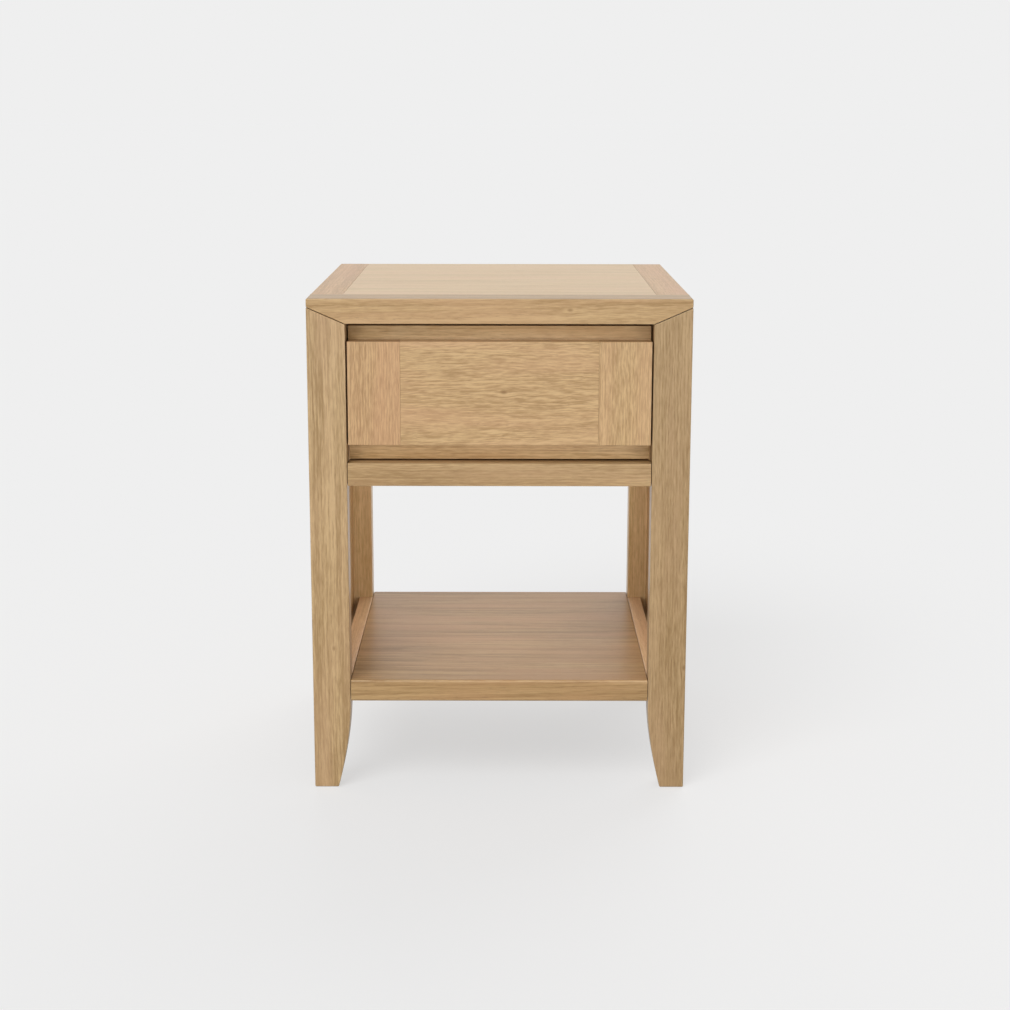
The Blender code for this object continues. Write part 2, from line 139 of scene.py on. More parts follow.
def between(tree, share, low, high):
    """low where share is 0, high where it is 1, for two colours."""
    made = put(tree, "ShaderNodeMix", {"Factor": share}, data_type="RGBA", clamp_factor=True)
    colours = [s for s in made.inputs if s.type == "RGBA"]
    for socket, value in zip(colours, (low, high)):
        if isinstance(value, bpy.types.NodeSocket):
            tree.links.new(value, socket)
        else:
            socket.default_value = value
    return [s for s in made.outputs if s.type == "RGBA"][0]


def fill(tree, group_node, values):
    """Sets or joins a placed group's inputs by name."""
    for name, value in values.items():
        if isinstance(value, bpy.types.NodeSocket):
            tree.links.new(value, group_node.inputs[name])
        else:
            group_node.inputs[name].default_value = value


def ramp_up(tree, value, start, end):
    """0 below start, 1 above end, and a smooth slope between them."""
    inputs = {"Value": value, "From Min": start, "From Max": end}
    made = put(tree, "ShaderNodeMapRange", inputs, interpolation_type="SMOOTHSTEP")
    return made.outputs["Result"]


def noise(tree, place, stretch, detail=2.0, roughness=0.5):
    """Noise whose spots are 1 / stretch metres long in each direction."""
    stretched = vectors(tree, "MULTIPLY", place, stretch)
    inputs = {"Vector": stretched, "Scale": 1.0, "Detail": detail, "Roughness": roughness}
    return put(tree, "ShaderNodeTexNoise", inputs)


def new_group(name, takes, gives):
    """A node group whose inputs are (name, kind, value) and whose outputs are (name, kind)."""
    group = bpy.data.node_groups.new(name, "ShaderNodeTree")
    for title, kind, value in takes:
        socket = group.interface.new_socket(title, in_out="INPUT", socket_type="NodeSocket" + kind)
        if value is not None:
            socket.default_value = value
    for title, kind in gives:
        group.interface.new_socket(title, in_out="OUTPUT", socket_type="NodeSocket" + kind)
    return group, put(group, "NodeGroupInput").outputs, put(group, "NodeGroupOutput").inputs


def give(group, socket, value):
    """Joins a value to one of a group's outputs."""
    group.links.new(value, socket)


# %% [markdown]
# ## Studio light
# The room is bright and even. What the camera and the lacquer see of it is brighter than what it sheds on
# the wood, as with a white backdrop that is lit on its own. A wide soft key from the upper left does the
# modelling, and a weak lamp from behind lights the back. Three soft boxes stand low in front: light from
# there reaches the finger recesses, the inner faces of the legs and the legs behind the open bay. A small
# panel under the drawer lights the shelf. All but the key are kept out of reflections, or they would show
# as glare on the lacquer.

# %% Light
ROOM_SEEN = 0.863
ROOM_SHED = 0.36
# Each far lamp: power, degrees above the floor, degrees round from the front to the right, width in degrees.
LAMPS = {"key_lamp": (1.15, 50.0, -32.0, 35.0), "back_lamp": (1.15, 30.0, 165.0, 60.0)}
REFLECTED = "key_lamp"
# Each near lamp: power, place, degrees turned up from straight down and then round to the left, size.
NEAR_LAMPS = {
    "soft_box": (12.0, (0.0, -2.1, 0.50), (88.0, 0.0), (2.2, 0.7)),
    "left_box": (11.0, (-1.7, -1.7, 0.45), (88.0, -45.0), (0.9, 0.7)),
    "right_box": (11.0, (1.7, -1.7, 0.45), (88.0, 45.0), (0.9, 0.7)),
    "bay_panel": (0.29, (0.0, 0.02, 0.374), (0.0, 0.0), (0.32, 0.22)),
}


def add_lamp(name, kind, power, turned_up, turned_round):
    """A lamp that shines straight down until it is turned up, and then round, by so many degrees."""
    data = bpy.data.lights.new(name, kind)
    data.energy = power
    lamp = bpy.data.objects.new(name, data)
    lamp.rotation_euler = (math.radians(turned_up), 0.0, math.radians(turned_round))
    lamp.visible_glossy = name == REFLECTED
    bpy.context.scene.collection.objects.link(lamp)
    return lamp


def add_near_lamp(name, power, place, turned, size):
    lamp = add_lamp(name, "AREA", power, *turned)
    lamp.data.shape = "RECTANGLE"
    lamp.data.size, lamp.data.size_y = size
    lamp.location = place
    lamp.visible_camera = False
    return lamp


def seen_directly(tree, shed, seen):
    """seen for what the camera or a reflection looks at, shed for light that falls on something matt."""
    path = put(tree, "ShaderNodeLightPath").outputs
    either = sums(tree, "MAXIMUM", path["Is Camera Ray"], path["Is Glossy Ray"])
    inputs = {"Value": either, "To Min": shed, "To Max": seen}
    return put(tree, "ShaderNodeMapRange", inputs).outputs["Result"]


def add_room():
    world = bpy.data.worlds.new("room")
    world.use_nodes = True
    tree = world.node_tree
    light = tree.nodes["Background"]
    light.inputs["Color"].default_value = (1.0, 1.0, 1.0, 1.0)
    tree.links.new(seen_directly(tree, ROOM_SHED, ROOM_SEEN), light.inputs["Strength"])
    bpy.context.scene.world = world


add_room()
for name, (power, height, round_from_front, width) in LAMPS.items():
    add_lamp(name, "SUN", power, 90 - height, round_from_front).data.angle = math.radians(width)
near_lamps = [add_near_lamp(name, *values) for name, values in NEAR_LAMPS.items()]
bpy.context.scene.view_settings.view_transform = "Standard"
print("lamps:", [*LAMPS, *NEAR_LAMPS])

# %% [markdown]
# The floor should meet the room without a line, so its brightness is worked out: a matt surface sends
# back its shade times the light that falls on it, and a little light of its own makes up the rest, as on
# a light table. The near lamps would light it unevenly, so it is left out of what they light.

# %% Floor
FLOOR_REACH = 60.0
FLOOR_DOWN = 0.0003
FLOOR_SHADE = 0.34
on_floor = ROOM_SHED + sum(power * math.sin(math.radians(height)) / math.pi
                           for power, height, _, _ in LAMPS.values())
floor_glow = ROOM_SEEN - FLOOR_SHADE * on_floor


def floor_paint():
    paint = bpy.data.materials.new("floor_paint")
    paint.use_nodes = True
    shader = paint.node_tree.nodes["Principled BSDF"]
    shader.inputs["Base Color"].default_value = (FLOOR_SHADE, FLOOR_SHADE, FLOOR_SHADE, 1.0)
    shader.inputs["Roughness"].default_value = 1.0
    shader.inputs["Specular IOR Level"].default_value = 0.0
    shader.inputs["Emission Color"].default_value = (1.0, 1.0, 1.0, 1.0)
    glow = seen_directly(paint.node_tree, 0.0, floor_glow)
    paint.node_tree.links.new(glow, shader.inputs["Emission Strength"])
    return paint


def add_floor():
    corners = np.array([[-1, -1, 0], [1, -1, 0], [1, 1, 0], [-1, 1, 0]]) * FLOOR_REACH
    corners[:, 2] = -FLOOR_DOWN
    mesh = bpy.data.meshes.new("floor")
    mesh.from_pydata(corners.tolist(), [], [(0, 1, 2, 3)])
    mesh.materials.append(floor_paint())
    floor = bpy.data.objects.new("floor", mesh)
    bpy.context.scene.collection.objects.link(floor)
    left_out = bpy.data.collections.new("not_lit_by_near_lamps")
    left_out.objects.link(floor)
    left_out.collection_objects[0].light_linking.link_state = "EXCLUDE"
    for lamp in near_lamps:
        lamp.light_linking.receiver_collection = left_out


add_floor()
print("light on the floor", round(on_floor, 3), "own light", round(floor_glow, 3))

# %% [markdown]
# ## Node groups for the finishes
# Wood, worn edges and lacquer are effects that many boards share, so each is one node group with named
# inputs, placed in every material with that board's own values.
#
# Oak is ring-porous: each year's ring starts with a band of open pores and ends dense and smooth. A board
# is cut through a log of such rings. Painting stripes on each face would break at the edges, so the wood
# is worked out in the solid: the place in the log gives the distance from the pith, that gives the ring,
# and long thin noise along the grain gives fibres and pores. The same rule then gives straight stripes on
# a face and round pores on an end.

# %% Oak, worked out in the solid
RING_PROFILE = ((0.0, 1.0), (0.30, 0.45), (0.62, 0.0), (0.90, 0.05), (1.0, 1.0))


def make_oak_group():
    takes = (
        ("Place", "Vector", None), ("Ring Width", "Float", 0.004), ("Wander", "Float", 0.004),
        ("Ripple", "Float", 0.0006), ("Rings", "Float", 0.5), ("Streaks", "Float", 1.0),
        ("Strokes", "Float", 1.0), ("Pores", "Float", 0.6), ("Blush", "Float", 0.5),
        ("Pale Wood", "Color", (1, 1, 1, 1)), ("Dark Wood", "Color", (0, 0, 0, 1)),
        ("Blush Wood", "Color", (1, 0.5, 0.4, 1)),
        ("Pore Shade", "Float", 0.55), ("End Grain", "Float", 0.0), ("Painted Shade", "Float", 0.0),
    )
    gives = (("Color", "Color"), ("Height", "Float"), ("Open Pores", "Float"))
    tree, took, gave = new_group("Oak in the solid", takes, gives)
    place = took["Place"]
    across = (0.0, 1.0, 1.0)

    def pushed(place, spots, amount):
        drift = vectors(tree, "SUBTRACT", noise(tree, place, spots, 1.0).outputs["Color"], (0.5, 0.5, 0.5))
        drift = vectors(tree, "MULTIPLY", drift, across)
        scale = put(tree, "ShaderNodeVectorMath", {0: drift, "Scale": amount}, operation="SCALE")
        return vectors(tree, "ADD", place, scale.outputs["Vector"])

    bent = pushed(place, (2.6, 11.0, 11.0), sums(tree, "MULTIPLY", took["Wander"], 2.0))
    rippled = pushed(bent, (34.0, 60.0, 60.0), sums(tree, "MULTIPLY", took["Ripple"], 2.0))
    from_pith = vectors(tree, "LENGTH", vectors(tree, "MULTIPLY", rippled, across))
    years = sums(tree, "DIVIDE", from_pith, took["Ring Width"])
    uneven = noise(tree, rippled, (0.5, 70.0, 70.0), 1.0).outputs["Fac"]
    years = sums(tree, "MULTIPLY_ADD", uneven, 1.6, years)
    profile = put(tree, "ShaderNodeValToRGB", {"Fac": sums(tree, "FRACT", years)})
    points = profile.color_ramp.elements
    while len(points) < len(RING_PROFILE):
        points.new(0.5)
    for point, (position, level) in zip(points, RING_PROFILE):
        point.position = position
        point.color = (level, level, level, 1.0)
    early = profile.outputs["Color"]

    strokes = noise(tree, rippled, (55.0, 620.0, 620.0), 2.0, 0.6).outputs["Fac"]
    fibre = noise(tree, bent, (8.0, 330.0, 330.0), 3.0, 0.62).outputs["Fac"]
    broad = noise(tree, bent, (2.2, 90.0, 90.0), 1.0).outputs["Fac"]
    fine = noise(tree, rippled, (120.0, 1900.0, 1900.0), 1.0).outputs["Fac"]
    pores = ramp_up(tree, fine, 0.58, 0.70)
    pores = sums(tree, "MULTIPLY", pores, sums(tree, "MULTIPLY_ADD", early, 0.7, 0.3))
    pores = sums(tree, "MULTIPLY", pores, took["Pores"])

    def centred(socket, amount):
        return sums(tree, "MULTIPLY", sums(tree, "SUBTRACT", socket, 0.5), amount)

    long_tone = sums(tree, "ADD", centred(fibre, 1.5), centred(broad, 1.2))
    tone = sums(tree, "MULTIPLY", long_tone, took["Streaks"])
    tone = sums(tree, "ADD", tone, sums(tree, "MULTIPLY", centred(strokes, 2.6), took["Strokes"]))
    ring_tone = sums(tree, "MULTIPLY", sums(tree, "SUBTRACT", early, 0.35), took["Rings"])
    # The Painted Shade input moves the tone towards the dark wood, as shade painted into the colour.
    tone = sums(tree, "ADD", sums(tree, "ADD", tone, ring_tone), sums(tree, "ADD", took["Painted Shade"], 0.5))
    colour = between(tree, tone, took["Pale Wood"], took["Dark Wood"])
    cloud = noise(tree, bent, (4.0, 34.0, 34.0), 2.0).outputs["Fac"]
    blush = sums(tree, "MULTIPLY", ramp_up(tree, cloud, 0.35, 0.70), took["Blush"])
    colour = between(tree, blush, colour, took["Blush Wood"])
    shaded = vectors(tree, "MULTIPLY", colour, (0.74, 0.68, 0.62))
    colour = between(tree, took["End Grain"], colour, shaded)
    deep = put(tree, "ShaderNodeVectorMath", {0: colour, "Scale": took["Pore Shade"]}, operation="SCALE")
    colour = between(tree, pores, colour, deep.outputs["Vector"])
    height = sums(tree, "MULTIPLY_ADD", strokes, 0.35, sums(tree, "MULTIPLY", pores, -1.0))
    give(tree, gave["Color"], colour)
    give(tree, gave["Height"], height)
    give(tree, gave["Open Pores"], pores)
    return tree


oak_group = make_oak_group()
print(oak_group.name, "with", len(oak_group.nodes), "nodes")

# %% [markdown]
# A small sound knot is a dark spot where a twig began. The grain swims round it, so the group gives two
# things: how much of the point is knot, and how far the wood beside it is pushed aside.

# %% Small knot


def make_knot_group():
    takes = (("Place", "Vector", None), ("Centre", "Vector", None), ("Radius", "Float", 0.003))
    tree, took, gave = new_group("Small knot", takes, (("Knot", "Float"), ("Place", "Vector")))
    away = vectors(tree, "SUBTRACT", took["Place"], took["Centre"])
    away = vectors(tree, "MULTIPLY", away, (0.6, 1.0, 1.0))
    distance = sums(tree, "DIVIDE", vectors(tree, "LENGTH", away), took["Radius"])
    knot = sums(tree, "SUBTRACT", 1.0, ramp_up(tree, distance, 0.1, 1.3))
    falloff = sums(tree, "DIVIDE", 1.0, sums(tree, "MULTIPLY_ADD", distance, distance, 1.0))
    push = put(tree, "ShaderNodeVectorMath", {0: away, "Scale": falloff}, operation="SCALE")
    moved = vectors(tree, "SUBTRACT", took["Place"], push.outputs["Vector"])
    give(tree, gave["Knot"], knot)
    give(tree, gave["Place"], moved)
    return tree


knot_group = make_knot_group()

# %% [markdown]
# Hands, cloths and vacuum cleaners rub an edge first. On a square board the flat faces look along an axis
# and only the eased edges look between two axes, so the direction of the surface tells where the edges
# are. The lacquer there is thinner and the wood paler, in patches.

# %% Worn edges and satin lacquer


def make_edge_group():
    takes = (
        ("Place", "Vector", None), ("Normal", "Vector", None), ("Color", "Color", (1, 1, 1, 1)),
        ("Wear", "Float", 0.35), ("Worn Color", "Color", (1, 0.9, 0.7, 1)),
    )
    tree, took, gave = new_group("Worn edges", takes, (("Color", "Color"), ("Edge", "Float")))
    facing = put(tree, "ShaderNodeSeparateXYZ", {0: vectors(tree, "ABSOLUTE", took["Normal"])}).outputs
    most = sums(tree, "MAXIMUM", sums(tree, "MAXIMUM", facing[0], facing[1]), facing[2])
    edge = sums(tree, "SUBTRACT", 1.0, ramp_up(tree, most, 0.76, 0.955))
    patches = noise(tree, took["Place"], (38.0, 38.0, 38.0), 3.0, 0.6).outputs["Fac"]
    worn = sums(tree, "MULTIPLY", edge, ramp_up(tree, patches, 0.30, 0.62))
    worn = sums(tree, "MULTIPLY", worn, took["Wear"])
    give(tree, gave["Color"], between(tree, worn, took["Color"], took["Worn Color"]))
    give(tree, gave["Edge"], edge)
    return tree


def make_lacquer_group():
    takes = (
        ("Place", "Vector", None), ("Roughness", "Float", 0.4), ("Smears", "Float", 0.06),
        ("Open Pores", "Float", 0.0), ("Edge", "Float", 0.0), ("Wood Height", "Float", 0.0),
    )
    tree, took, gave = new_group("Satin lacquer", takes, (("Roughness", "Float"), ("Height", "Float")))
    smears = noise(tree, took["Place"], (19.0, 19.0, 19.0), 3.0, 0.55).outputs["Fac"]
    rough = sums(tree, "MULTIPLY_ADD", sums(tree, "SUBTRACT", smears, 0.5), took["Smears"], took["Roughness"])
    rough = sums(tree, "MULTIPLY_ADD", took["Open Pores"], 0.18, rough)
    rough = sums(tree, "MULTIPLY_ADD", took["Edge"], -0.05, rough)
    skin = noise(tree, took["Place"], (420.0, 420.0, 420.0), 1.0).outputs["Fac"]
    height = sums(tree, "MULTIPLY_ADD", skin, 0.12, took["Wood Height"])
    give(tree, gave["Roughness"], rough)
    give(tree, gave["Height"], height)
    return tree


edge_group = make_edge_group()
lacquer_group = make_lacquer_group()
print("groups:", [g.name for g in bpy.data.node_groups])

# %% [markdown]
# ## Oak materials
# Every board is its own piece of the log, so every board has its own material: the same groups, with the
# board's place in the log, its grain direction and its tone. No two boards of a real table match, so the
# tones differ a little: a pale top, pinkish bands, and legs that lean to olive. The rear legs, the shelf
# rails and the strips of the drawer's backing board are painted lighter than their wood: painted light for
# the bay and the finger recesses, which the lamps barely reach.

# %% Tones of the boards


def tone(red, green, blue):
    """A colour given as a paint chart gives it, from 0 to 255, as the light that it sends back."""
    share = np.array([red, green, blue]) / 255.0
    linear = np.where(share <= 0.04045, share / 12.92, ((share + 0.055) / 1.055) ** 2.4)
    return (*[float(v) for v in linear], 1.0)


# Pale wood, dark wood, blush.
TONES = {
    "pale": (tone(227, 195, 145), tone(203, 169, 119), tone(231, 191, 149)),
    "band": (tone(213, 170, 117), tone(185, 142, 90), tone(214, 162, 117)),
    "lip": (tone(196, 163, 116), tone(160, 126, 80), tone(194, 154, 112)),
    "left_leg": (tone(196, 165, 121), tone(156, 125, 82), tone(192, 156, 119)),
    "right_leg": (tone(180, 150, 108), tone(142, 112, 70), tone(176, 142, 106)),
    # Painted light: the rear legs stand in shade in the open bay, so their tone is much lighter than their
    # wood.
    "rear_leg_painted_light": (tone(218, 188, 140), tone(182, 151, 102), tone(216, 178, 136)),
    "rail": (tone(190, 159, 112), tone(150, 118, 74), tone(186, 149, 108)),
    "stile": (tone(200, 163, 117), tone(164, 127, 85), tone(204, 157, 117)),
    "panel": (tone(202, 168, 121), tone(166, 132, 87), tone(204, 161, 121)),
    # Painted light: the strips are the finger recesses, shaded by the lipping, so their tone is lighter than
    # their wood.
    "strip": (tone(206, 172, 126), tone(164, 130, 84), tone(200, 160, 118)),
    "shelf": (tone(184, 150, 103), tone(145, 112, 68), tone(182, 141, 98)),
    # Painted light: the shelf rails lie in shade under the drawer, so their tone is much lighter than their
    # wood.
    "shelf_rail": (tone(230, 196, 152), tone(204, 166, 122), tone(232, 188, 150)),
    "honey": (tone(204, 168, 118), tone(166, 128, 78), tone(206, 158, 112)),
    "side": (tone(196, 162, 113), tone(158, 123, 75), tone(198, 152, 108)),
    "birch": (tone(222, 196, 152), tone(200, 168, 122), tone(220, 184, 142)),
}
WORN_OAK = tone(214, 190, 150)
RING_WIDTH = 0.0035
LACQUER_WEIGHT = 0.20
LACQUER_DULL = 0.22
WOOD_ROUGHNESS = 0.40
GRAIN_TURNS = {"x": (0.0, 0.0, 0.0), "y": (0.0, 0.0, -90.0), "z": (0.0, 90.0, 0.0)}

# %% Oak material
# Painted shade: below this height along the grain the wood is painted darker, above it lighter.
FOOT_SHADE_FROM = 0.36  # metres along the grain


def oak(name, tone_name, grain, pith, lean=(0.0, 0.0), rings=0.3, streaks=1.0, strokes=0.8, ripple=0.0006,
        wander=0.004, blush=0.45, pores=0.5, knot=None, foot_shade=0.0):
    """Oak for one board. grain is the axis the fibres follow, pith is where the heart of the log lies beside
    the board, and lean is how many degrees the board was cut out of line with the log, in the two directions.
    foot_shade: painted shade, darker along the grain below FOOT_SHADE_FROM and lighter above it."""
    made = bpy.data.materials.new(name)
    made.use_nodes = True
    tree = made.node_tree
    shader = tree.nodes["Principled BSDF"]
    shader.inputs["IOR"].default_value = 1.5
    shader.inputs["Coat Weight"].default_value = LACQUER_WEIGHT
    shader.inputs["Coat Roughness"].default_value = LACQUER_DULL
    where = put(tree, "ShaderNodeTexCoord").outputs
    turned_by = [math.radians(t) for t in GRAIN_TURNS[grain]]
    along = put(tree, "ShaderNodeMapping", {"Vector": where["Object"], "Rotation": turned_by})
    set_in = {"Vector": along.outputs["Vector"], "Location": pith,
              "Rotation": (0.0, math.radians(lean[0]), math.radians(lean[1]))}
    in_log = put(tree, "ShaderNodeMapping", set_in).outputs["Vector"]
    facing = put(tree, "ShaderNodeMapping", {"Vector": where["Normal"], "Rotation": turned_by},
                 vector_type="NORMAL")
    ends = put(tree, "ShaderNodeSeparateXYZ", {0: facing.outputs["Vector"]}).outputs[0]
    ends = ramp_up(tree, sums(tree, "ABSOLUTE", ends), 0.6, 0.95)
    colours = TONES[tone_name]
    along_grain = put(tree, "ShaderNodeSeparateXYZ", {0: along.outputs["Vector"]}).outputs[0]
    place = in_log
    if knot:
        centre = put(tree, "ShaderNodeMapping", {"Vector": knot[:3], "Rotation": turned_by})
        centre = put(tree, "ShaderNodeMapping", {**set_in, "Vector": centre.outputs["Vector"]})
        values = {"Place": in_log, "Centre": centre.outputs["Vector"], "Radius": knot[3]}
        twig = put(tree, "ShaderNodeGroup", node_tree=knot_group)
        fill(tree, twig, values)
        place = twig.outputs["Place"]
    wood = put(tree, "ShaderNodeGroup", node_tree=oak_group)
    fill(tree, wood, {
        "Place": place, "Ring Width": RING_WIDTH, "Wander": wander, "Ripple": ripple, "Rings": rings,
        "Streaks": streaks, "Strokes": strokes, "Pores": pores, "Blush": blush, "End Grain": ends,
        "Pale Wood": colours[0], "Dark Wood": colours[1], "Blush Wood": colours[2],
        # Painted shade: darker towards the foot and lighter above, where less light reaches near the floor.
        "Painted Shade": sums(tree, "MULTIPLY_ADD", along_grain, -foot_shade, FOOT_SHADE_FROM * foot_shade),
    })
    colour = wood.outputs["Color"]
    if knot:
        dark = vectors(tree, "MULTIPLY", colour, (0.66, 0.60, 0.52))
        colour = between(tree, twig.outputs["Knot"], colour, dark)
    edges = put(tree, "ShaderNodeGroup", node_tree=edge_group)
    fill(tree, edges, {"Place": where["Object"], "Normal": where["Normal"],
                       "Color": colour, "Worn Color": WORN_OAK})
    lacquer = put(tree, "ShaderNodeGroup", node_tree=lacquer_group)
    fill(tree, lacquer, {
        "Place": where["Object"], "Roughness": WOOD_ROUGHNESS, "Edge": edges.outputs["Edge"],
        "Open Pores": wood.outputs["Open Pores"], "Wood Height": wood.outputs["Height"],
    })
    bump = put(tree, "ShaderNodeBump", {"Height": lacquer.outputs["Height"], "Distance": 0.00025,
                                        "Strength": 0.55})
    tree.links.new(edges.outputs["Color"], shader.inputs["Base Color"])
    tree.links.new(lacquer.outputs["Roughness"], shader.inputs["Roughness"])
    tree.links.new(bump.outputs["Normal"], shader.inputs["Normal"])
    return made


# %% [markdown]
# ## Boards with eased edges
# A board is an outline carried along a straight path: every point of the outline is repeated at each
# station of the path, neighbours are joined into faces, and the two ends are closed. The maker then eases
# each edge by its own amount: a soft round where a hand meets it, a hair's breadth where two boards meet.
# The Bevel modifier rounds each edge by the weight it is given, so the amounts are kept as weights.

# %% Board from an outline
EASE_STEPS = 4


def board(name, outline, stations, corners, rims):
    """The outline, n points with x and z, is carried from front to back through the stations, which give y.
    corners holds n amounts, for the long edge at each point. rims holds two rows of n, for the edge from each
    point to the next on the front end and on the back. Amounts are radii in metres."""
    outline = np.asarray(outline, float)
    stations = np.asarray(stations, float)
    count, rows = len(outline), len(stations)
    points = np.empty((rows, count, 3))
    points[..., [0, 2]] = outline
    points[..., 1] = stations[:, None]
    index = np.arange(rows * count).reshape(rows, count)
    after = np.roll(index, -1, axis=1)
    sides = np.stack([index[:-1], after[:-1], after[1:], index[1:]], axis=-1).reshape(-1, 4)
    long_edges = np.stack([index[:-1], index[1:]], axis=-1).reshape(-1, 2)
    ring_edges = np.stack([index, after], axis=-1)
    amounts = np.zeros((rows, count))
    amounts[0], amounts[-1] = rims
    mesh = bpy.data.meshes.new(name)
    edges = np.concatenate([long_edges, ring_edges.reshape(-1, 2)])
    faces = sides.tolist() + [index[0][::-1].tolist(), index[-1].tolist()]
    mesh.from_pydata(points.reshape(-1, 3).tolist(), edges.tolist(), faces)
    radii = np.concatenate([np.tile(corners, rows - 1), amounts.ravel()])
    widest = max(float(radii.max()), 1e-5)
    weights = mesh.attributes.new("bevel_weight_edge", "FLOAT", "EDGE")
    weights.data.foreach_set("value", (radii / widest).astype(np.float32))
    faces_outwards(mesh)
    made = bpy.data.objects.new(name, mesh)
    bpy.context.scene.collection.objects.link(made)
    ease = made.modifiers.new("eased_edges", "BEVEL")
    ease.width = widest
    ease.segments = EASE_STEPS
    ease.limit_method = "WEIGHT"
    ease.harden_normals = True
    return made


def faces_outwards(mesh):
    """Turns every face to look out of the solid, and shades it smooth."""
    solid = bmesh.new()
    solid.from_mesh(mesh)
    bmesh.ops.recalc_face_normals(solid, faces=solid.faces)
    for face in solid.faces:
        face.smooth = True
    solid.to_mesh(mesh)
    solid.free()


def stand_for(piece, node, body="carcass"):
    """The piece takes the node's place and moves with its body."""
    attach(piece, body)
    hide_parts(node)
    return piece


# %% [markdown]
# ## The top
# A solid lipping runs along the front, a band down each side with its grain from front to back, and a
# centre panel between them. Under it the joint with each leg slopes, so that the top is thin at its outer
# edge. A slope cut into blocks would have to be cut again at each change of size, so all four are
# sections with the slope in them, carried from front to back.

# %% Top
OUTER = 0.0018
SHOWN = 0.0009
TIGHT = 0.0002
BACK_CORNER = 0.0045


def underside(x):
    """Height of the top's underside: flat between the legs, then a straight rise to the outer edge."""
    beyond = np.clip((np.abs(x) - INNER) / (HALF - INNER), 0.0, 1.0)
    return UNDER_TOP + beyond * (UNDER_EDGE - UNDER_TOP)


def make_lipping():
    xs = np.array([-HALF, -INNER, INNER, HALF, HALF, -HALF])
    zs = np.append(underside(xs[:4]), [HEIGHT, HEIGHT])
    corners = [SHOWN, TIGHT, TIGHT, SHOWN, OUTER, OUTER]
    rims = [[SHOWN, SHOWN, SHOWN, OUTER, OUTER, OUTER], [TIGHT] * 6]
    stations = (lip_low.y, lip_high.y + CLOSE)
    piece = board("front_lipping", np.stack([xs, zs], 1), stations, corners, rims)
    return stand_for(piece, "top_front_lipping")


def make_centre_panel():
    low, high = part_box("top_centre_panel")
    edge = high.x + CLOSE
    xs = np.array([-edge, -INNER, INNER, edge, edge, -edge])
    zs = np.append(underside(xs[:4]), [HEIGHT, HEIGHT])
    rims = [[TIGHT] * 6, [SHOWN, SHOWN, SHOWN, TIGHT, OUTER, TIGHT]]
    stations = (low.y - CLOSE, high.y)
    piece = board("centre_panel", np.stack([xs, zs], 1), stations, [TIGHT] * 6, rims)
    return stand_for(piece, "top_centre_panel")


def make_band(side, way):
    xs = np.array([band_low.x - CLOSE, HALF, HALF, band_low.x - CLOSE])
    zs = np.array([*underside(xs[:2]), HEIGHT, HEIGHT])
    corners = [TIGHT, SHOWN, OUTER, TIGHT]
    rims = [[TIGHT] * 4, [SHOWN, BACK_CORNER, OUTER, TIGHT]]
    outline = np.stack([way * xs, zs], 1)
    stations = (band_low.y - CLOSE, band_high.y)
    piece = board(f"{side}_band", outline, stations, corners, rims)
    return stand_for(piece, f"top_{side}_band")


lipping = make_lipping()
centre_panel = make_centre_panel()
bands = {side: make_band(side, way) for side, way in SIDES.items()}
print("top pieces:", lipping.name, centre_panel.name, [b.name for b in bands.values()])

# %% [markdown]
# ## The legs
# Seen from the front a leg is straight outside, and its inner edge leaves the straight in a slow curve
# towards the foot. The curve is a power of the distance below its start: x moves in by a share t to the
# power 1.7, so it starts without a corner. A square leg cut by a curved tool would do as well, but an
# outline that holds the curve needs no cut. It is carried back through the leg's thickness.

# %% Legs
CURVE_POINTS = 18
LEG_EASE = 0.0016
INNER_EASE = 0.0010
MITRE_EASE = 0.00072


def leg_outline():
    """Mitred top, straight outer edge, flat foot, and the curved inner edge from the foot up."""
    down = np.linspace(1.0, 0.0, CURVE_POINTS)
    curve_x = INNER + FOOT_CURVE_IN * down**FOOT_CURVE_POWER
    curve_z = FOOT_CURVE_HIGH * (1.0 - down)
    top_x = np.array([INNER, HALF, HALF])
    top_z = np.array([UNDER_TOP - MITRE_GAP, UNDER_EDGE - MITRE_GAP, 0.0])
    return np.stack([np.append(top_x, curve_x), np.append(top_z, curve_z)], 1)


def make_leg(end, side, way):
    node = f"{end}_{side}_leg"
    low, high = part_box(node)
    outline = leg_outline() * (way, 1)
    corners = np.zeros(len(outline))
    corners[:4] = [TIGHT, SHOWN, LEG_EASE, LEG_EASE]
    rim = np.full(len(outline), INNER_EASE)
    rim[:3] = [MITRE_EASE, LEG_EASE, LEG_EASE]
    piece = board(f"{end}_{side}_tapered_leg", outline, (low.y, high.y), corners, [rim, rim])
    return stand_for(piece, node)


legs = {(end, side): make_leg(end, side, way) for end in ("front", "rear") for side, way in SIDES.items()}
print("legs:", [leg.name for leg in legs.values()])

# %% [markdown]
# ## The shelf
# The shelf and the boards of the raised drawer front have no joint cut in them, so one function makes
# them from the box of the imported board. A plain block would have all its edges alike. Here the outline is
# the board's front face, and the front edges, which a hand meets, can be rounder than the rest.

# %% Plain boards and the shelf
ROUND = 0.0030
CORNER = 0.0010
WIDER = 0.0003  # closes the hair gap to the neighbour on each side


def square_board(name, node, front, ends, back, body="carcass", wider=0.0):
    """A board as large as the node's box, and wider by so much on each side. front and back are the amounts
    by which the top and bottom edges of those faces are eased, and ends is the amount for their upright
    edges."""
    low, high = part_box(node)
    left, right = low.x - wider, high.x + wider
    outline = [(left, low.z), (right, low.z), (right, high.z), (left, high.z)]
    rims = [[front, ends, front, ends], [back, ends, back, ends]]
    piece = board(name, outline, (low.y, high.y), [ends] * 4, rims)
    return stand_for(piece, node, body)


